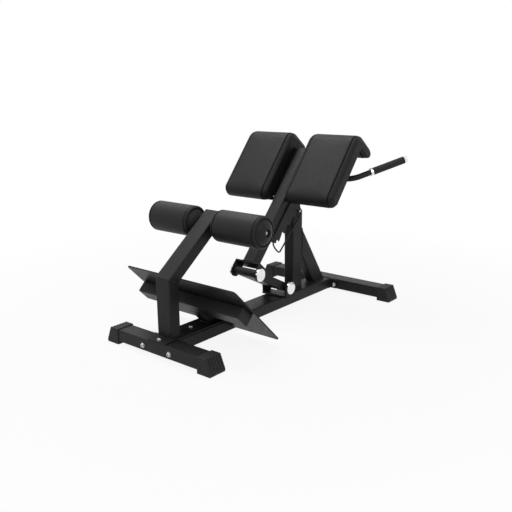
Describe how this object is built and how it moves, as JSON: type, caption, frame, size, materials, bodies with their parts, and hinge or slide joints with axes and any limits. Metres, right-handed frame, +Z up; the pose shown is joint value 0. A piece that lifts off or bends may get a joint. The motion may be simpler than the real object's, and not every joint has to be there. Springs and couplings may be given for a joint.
{
  "type": "hyperextension bench",
  "caption": "Floor-standing back extension bench with sloping foot plate, foam heel rollers, and split thigh pads with side handles on a rack-adjustable carriage.",
  "frame": {"origin": "on the floor, under the middle of the bench's length and width", "axes": "+X from the foot end towards the pads, +Y to the left of a person facing the pads, +Z up"},
  "size_m": [1.209, 0.8644, 0.7879],
  "materials": {
    "frame": "satin powder coat",
    "vinyl": "fine grained",
    "rubber": "matte",
    "plastic": "matte",
    "chrome": "polished",
    "steel": "turned",
    "board": "raw plywood"
  },
  "bodies": {
    "frame": {"arm_end_cap": "plastic", "base_plate_bolt_front": "chrome", "base_plate_bolt_rear": "chrome", "foot_plate": "frame", "foot_plate_cross_tube": "frame", "foot_plate_strut": "frame", "foot_tube_end_cap_left": "plastic", "foot_tube_end_cap_right": "plastic", "front_arm": "frame", "front_cross_tube": "frame", "front_flange_bolt_left": "chrome", "front_flange_bolt_right": "chrome", "front_foot_cap_left": "rubber", "front_foot_cap_right": "rubber", "front_post": "frame", "lower_pivot_bracket": "frame", "lower_pivot_cap_left": "chrome", "lower_pivot_cap_right": "chrome", "lower_pivot_pin": "steel", "main_rail": "frame", "post_base_plate": "frame", "rack_pin": "steel", "rail_front_flange": "frame", "rail_rear_flange": "frame", "rear_cross_tube": "frame", "rear_flange_bolt_left": "chrome", "rear_flange_bolt_right": "chrome", "rear_foot_cap_left": "rubber", "rear_foot_cap_right": "rubber", "rear_upright": "frame", "roller_axle": "steel", "upright_brace": "frame"},
    "link": {"swing_link": "frame"},
    "carriage": {"carriage_tube": "frame", "carriage_tube_end_cap": "plastic", "upper_pivot_bracket": "frame", "upper_pivot_pin": "steel", "upper_pivot_cap_left": "chrome", "upper_pivot_cap_right": "chrome", "rack_plate_left": "frame", "rack_plate_right": "frame", "rack_guard_rod": "frame", "pad_left": "vinyl", "pad_right": "vinyl", "pad_board_left": "board", "pad_board_right": "board", "pad_bracket_left": "frame", "pad_bracket_right": "frame", "handle_bar": "frame", "handle_ring_left": "chrome", "handle_ring_right": "chrome", "handle_grip_left": "rubber", "handle_grip_right": "rubber", "handle_cap_left": "chrome", "handle_cap_right": "chrome"},
    "roller_left": {"heel_roller_left": "vinyl", "roller_core_left": "plastic"},
    "roller_right": {"heel_roller_right": "vinyl", "roller_core_right": "plastic"}
  },
  "joints": [
    {"name": "link_hinge", "type": "hinge", "parent": "frame", "child": "link", "pos_m": [0.1588, 0, 0.1042], "axis": [0, 1, 0], "range_deg": [0, 40]},
    {"name": "carriage_hinge", "type": "hinge", "parent": "link", "child": "carriage", "pos_m": [-0.0589, 0, 0.2157], "axis": [0, 1, 0], "range_deg": [-40, 0]},
    {"name": "roller_left_spin", "type": "hinge", "parent": "frame", "child": "roller_left", "pos_m": [-0.29336, 0, 0.47062], "axis": [0, 1, 0], "continuous": true},
    {"name": "roller_right_spin", "type": "hinge", "parent": "frame", "child": "roller_right", "pos_m": [-0.29336, 0, 0.47062], "axis": [0, 1, 0], "continuous": true}
  ],
  "couplings": [
    {"joint": "carriage_hinge", "follows": "link_hinge", "ratio": -1}
  ]
}
